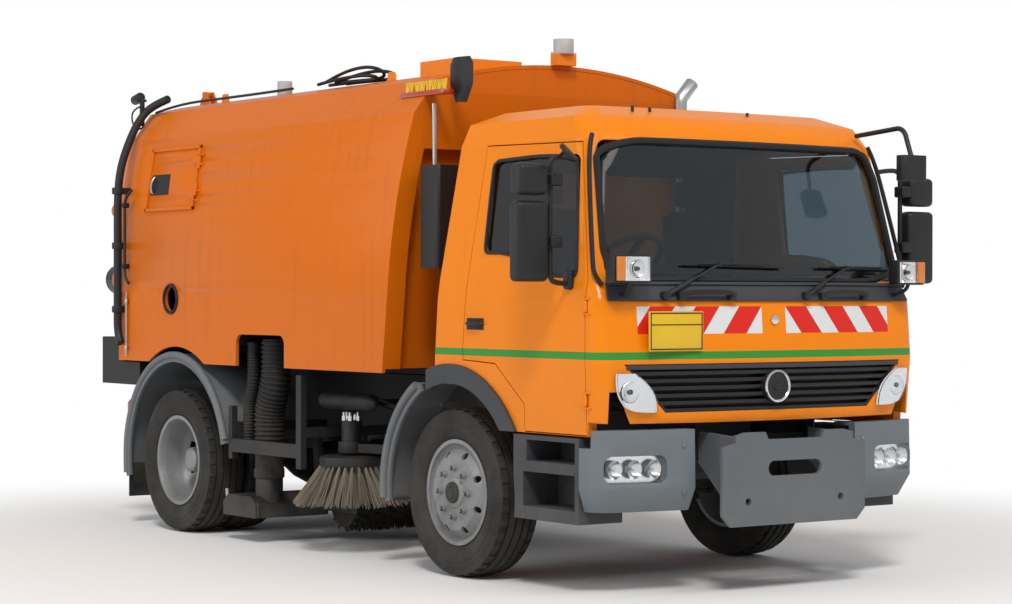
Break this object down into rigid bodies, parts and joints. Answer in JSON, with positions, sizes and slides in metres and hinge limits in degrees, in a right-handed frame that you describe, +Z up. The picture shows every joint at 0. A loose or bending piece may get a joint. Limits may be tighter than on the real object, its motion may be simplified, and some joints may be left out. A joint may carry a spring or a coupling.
{
  "type": "street sweeper truck",
  "caption": "Two-axle truck with a tilting cab, a tipping waste hopper with a hinged rear door, a suction nozzle with hoses, a side brush on a swing arm and a cross roller brush.",
  "frame": {"origin": "on the ground under the middle of the overall box", "axes": "+Z up, -Y to the front of the vehicle, -X to its right side"},
  "size_m": [3.005, 6.097, 3.1299],
  "materials": {
    "chassis": "satin black chassis paint with dust",
    "orange": "gloss orange paint",
    "plate_grey": "semi-gloss grey paint",
    "bumper_grey": "moulded grey plastic",
    "flare_grey": "textured dark grey plastic",
    "guard_grey": "moulded grey plastic",
    "black_plastic": "black moulded plastic",
    "tyre": "black tyre rubber, dusty",
    "rim": "silver-grey wheel paint with brake dust",
    "glass": "clear tinted glass",
    "lamp_clear": "clear lamp lens",
    "lamp_red": "red-orange lens",
    "interior": "dark interior trim",
    "seat_cloth": "dark woven seat cloth",
    "steel_bright": "bare steel",
    "hose_black": "black corrugated hose rubber",
    "bristle": "worn grey-beige bristles",
    "dark_metal": "dark oily metal"
  },
  "bodies": {
    "chassis": {"chassis_frame": "chassis", "subframe": "chassis", "leaf_springs": "dark_metal", "front_axle": "dark_metal", "rear_axle": "dark_metal", "bumper": "bumper_grey", "headlamps": "lamp_clear", "front_plate": "plate_grey", "entry_steps": "flare_grey", "mudguards": "guard_grey", "engine": "dark_metal", "propshaft": "dark_metal", "side_tanks": "dark_metal", "exhaust_stack": "steel_bright", "air_intake": "black_plastic", "rear_beam": "chassis", "tail_lamps": "lamp_red", "suction_nozzle": "chassis", "suction_hoses": "hose_black", "side_frame": "chassis", "brush_mount": "chassis", "roller_hood": "chassis"},
    "knuckle_right": {"knuckle_right": "dark_metal"},
    "knuckle_left": {"knuckle_left": "dark_metal"},
    "tie_rod": {"tie_rod": "dark_metal"},
    "front_wheel_right": {"front_tyre_right": "tyre", "front_rim_right": "rim"},
    "front_wheel_left": {"front_tyre_left": "tyre", "front_rim_left": "rim"},
    "rear_wheels_right": {"rear_tyres_right": "tyre", "rear_rims_right": "rim"},
    "rear_wheels_left": {"rear_tyres_left": "tyre", "rear_rims_left": "rim"},
    "cab": {"cab_shell": "orange", "cab_glass": "glass", "wheel_flares": "flare_grey", "grille": "black_plastic", "seats": "seat_cloth", "dashboard": "interior", "roof_mirrors": "black_plastic"},
    "door_right": {"door_right": "orange", "door_glass_right": "glass", "mirror_right": "black_plastic"},
    "door_left": {"door_left": "orange", "door_glass_left": "glass", "mirror_left": "black_plastic"},
    "hopper": {"hopper_shell": "orange", "hopper_floor": "chassis", "hopper_front": "orange", "roof_gear": "dark_metal", "suction_boom": "black_plastic"},
    "tailgate": {"tailgate": "orange"},
    "side_hatch": {"side_hatch": "orange"},
    "ram_barrel": {"ram_barrel": "dark_metal"},
    "ram_rod": {"ram_rod": "steel_bright"},
    "brush_arm": {"brush_arm": "dark_metal"},
    "side_brush": {"side_brush": "bristle"},
    "roller_brush": {"roller_brush": "bristle"}
  },
  "joints": [
    {"name": "steer_right", "type": "hinge", "parent": "chassis", "child": "knuckle_right", "pos_m": [-0.8, -1.4415, 0.478], "axis": [0, 0, 1], "range_deg": [-38, 38]},
    {"name": "steer_left", "type": "hinge", "parent": "chassis", "child": "knuckle_left", "pos_m": [0.8, -1.4415, 0.478], "axis": [0, 0, 1], "range_deg": [-38, 38]},
    {"name": "tie_rod_turn", "type": "hinge", "parent": "knuckle_right", "child": "tie_rod", "pos_m": [-0.8, -1.2515, 0.356], "axis": [0, 0, 1], "range_deg": [-38, 38]},
    {"name": "front_wheel_right_spin", "type": "hinge", "parent": "knuckle_right", "child": "front_wheel_right", "pos_m": [-0.986, -1.4415, 0.478], "axis": [1, 0, 0], "continuous": true},
    {"name": "front_wheel_left_spin", "type": "hinge", "parent": "knuckle_left", "child": "front_wheel_left", "pos_m": [0.986, -1.4415, 0.478], "axis": [1, 0, 0], "continuous": true},
    {"name": "rear_wheels_right_spin", "type": "hinge", "parent": "chassis", "child": "rear_wheels_right", "pos_m": [-0.862, 1.8185, 0.478], "axis": [1, 0, 0], "continuous": true},
    {"name": "rear_wheels_left_spin", "type": "hinge", "parent": "chassis", "child": "rear_wheels_left", "pos_m": [0.862, 1.8185, 0.478], "axis": [1, 0, 0], "continuous": true},
    {"name": "cab_tilt", "type": "hinge", "parent": "chassis", "child": "cab", "pos_m": [0, -2.9115, 0.8], "axis": [1, 0, 0], "range_deg": [0, 50]},
    {"name": "door_right_swing", "type": "hinge", "parent": "cab", "child": "door_right", "pos_m": [-1.14, -2.6915, 1.3], "axis": [0, 0, 1], "range_deg": [0, 70]},
    {"name": "door_left_swing", "type": "hinge", "parent": "cab", "child": "door_left", "pos_m": [1.14, -2.6915, 1.3], "axis": [0, 0, -1], "range_deg": [0, 70]},
    {"name": "hopper_tip", "type": "hinge", "parent": "chassis", "child": "hopper", "pos_m": [0, 2.7085, 1.05], "axis": [-1, 0, 0], "range_deg": [0, 50]},
    {"name": "tailgate_swing", "type": "hinge", "parent": "hopper", "child": "tailgate", "pos_m": [0, 2.6605, 3.005], "axis": [1, 0, 0], "range_deg": [0, 90]},
    {"name": "side_hatch_swing", "type": "hinge", "parent": "hopper", "child": "side_hatch", "pos_m": [-1.142, 1.6085, 2.15], "axis": [0.1359, 0, 0.9907], "range_deg": [0, 110]},
    {"name": "ram_turn", "type": "hinge", "parent": "chassis", "child": "ram_barrel", "pos_m": [0, -0.1915, 0.862], "axis": [1, 0, 0], "range_deg": [0, 25.2]},
    {"name": "ram_stroke", "type": "slide", "parent": "ram_barrel", "child": "ram_rod", "axis": [0, 0.9822, 0.1877], "range_m": [0, 1.0449]},
    {"name": "brush_arm_swing", "type": "hinge", "parent": "chassis", "child": "brush_arm", "pos_m": [-0.51, -0.6815, 0.62], "axis": [0, 0, 1], "range_deg": [0, 32]},
    {"name": "side_brush_spin", "type": "hinge", "parent": "brush_arm", "child": "side_brush", "pos_m": [-0.86, 0.0585, 0.58], "axis": [0, 0, 1], "continuous": true},
    {"name": "roller_brush_spin", "type": "hinge", "parent": "chassis", "child": "roller_brush", "pos_m": [0.155, 0.6785, 0.245], "axis": [1, 0, 0], "continuous": true}
  ],
  "couplings": [
    {"joint": "steer_left", "follows": "steer_right", "ratio": 1},
    {"joint": "tie_rod_turn", "follows": "steer_right", "ratio": -1},
    {"joint": "ram_turn", "follows": "hopper_tip", "ratio": 0.50296},
    {"joint": "ram_stroke", "follows": "hopper_tip", "m_per_rad": 1.1963}
  ]
}
